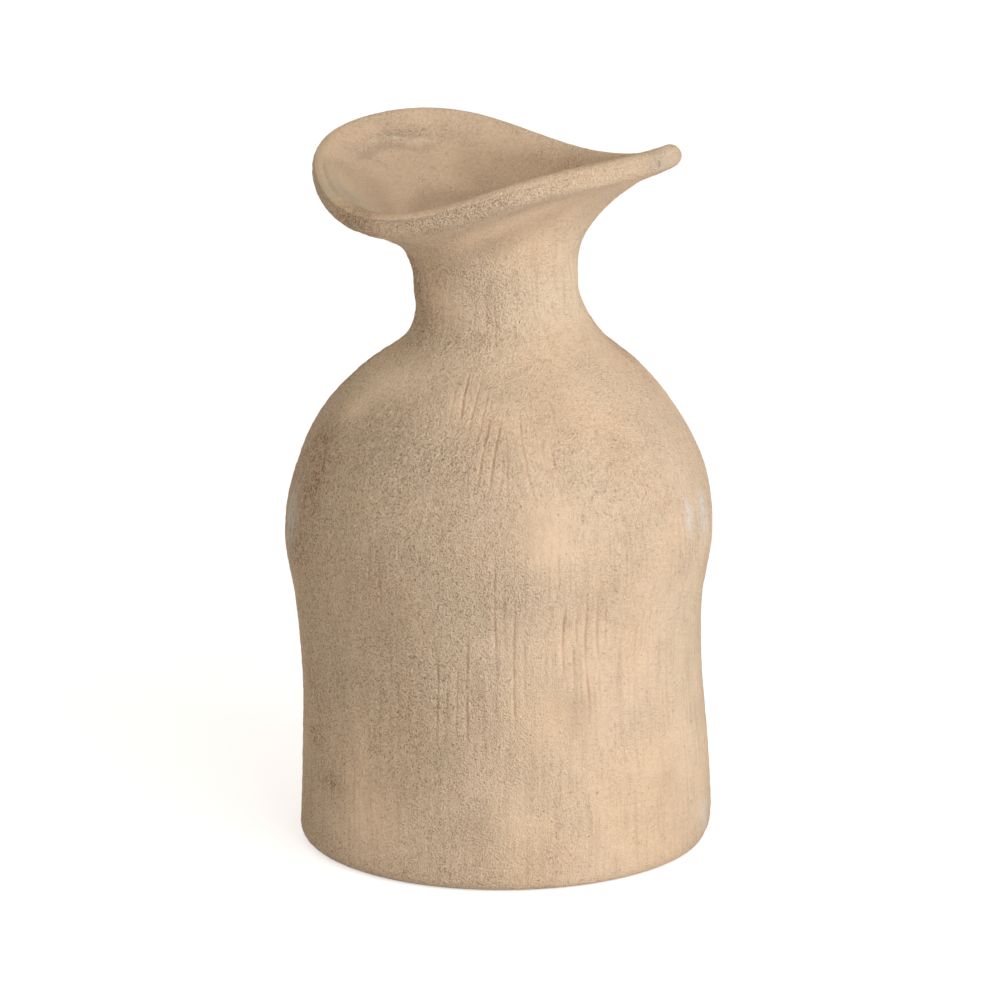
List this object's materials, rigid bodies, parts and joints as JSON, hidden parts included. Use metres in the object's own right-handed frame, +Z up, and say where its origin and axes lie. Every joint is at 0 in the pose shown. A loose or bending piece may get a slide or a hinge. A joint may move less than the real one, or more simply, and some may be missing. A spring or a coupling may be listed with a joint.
{
  "type": "vase",
  "caption": "Hand-built stoneware vase with a bulging body, a narrow neck and a flared saddle-shaped mouth with a rolled rim.",
  "frame": {"origin": "on the standing surface, under the middle of the belly", "axes": "+Z up through the neck, -Y towards the front of the picture's view, +X to its right"},
  "size_m": [0.1508, 0.1508, 0.2524],
  "materials": {
    "stoneware": "matte sandy slip with fine brown grog pits",
    "liner_glaze": "satin clear liner glaze"
  },
  "bodies": {
    "root": {"base_slab": "stoneware", "lower_wall": "stoneware", "belly_wall": "stoneware", "shoulder_dome": "stoneware", "neck_collar": "stoneware", "mouth_flare": "stoneware", "rim_roll": "stoneware", "glaze_lining": "liner_glaze"}
  },
  "joints": []
}
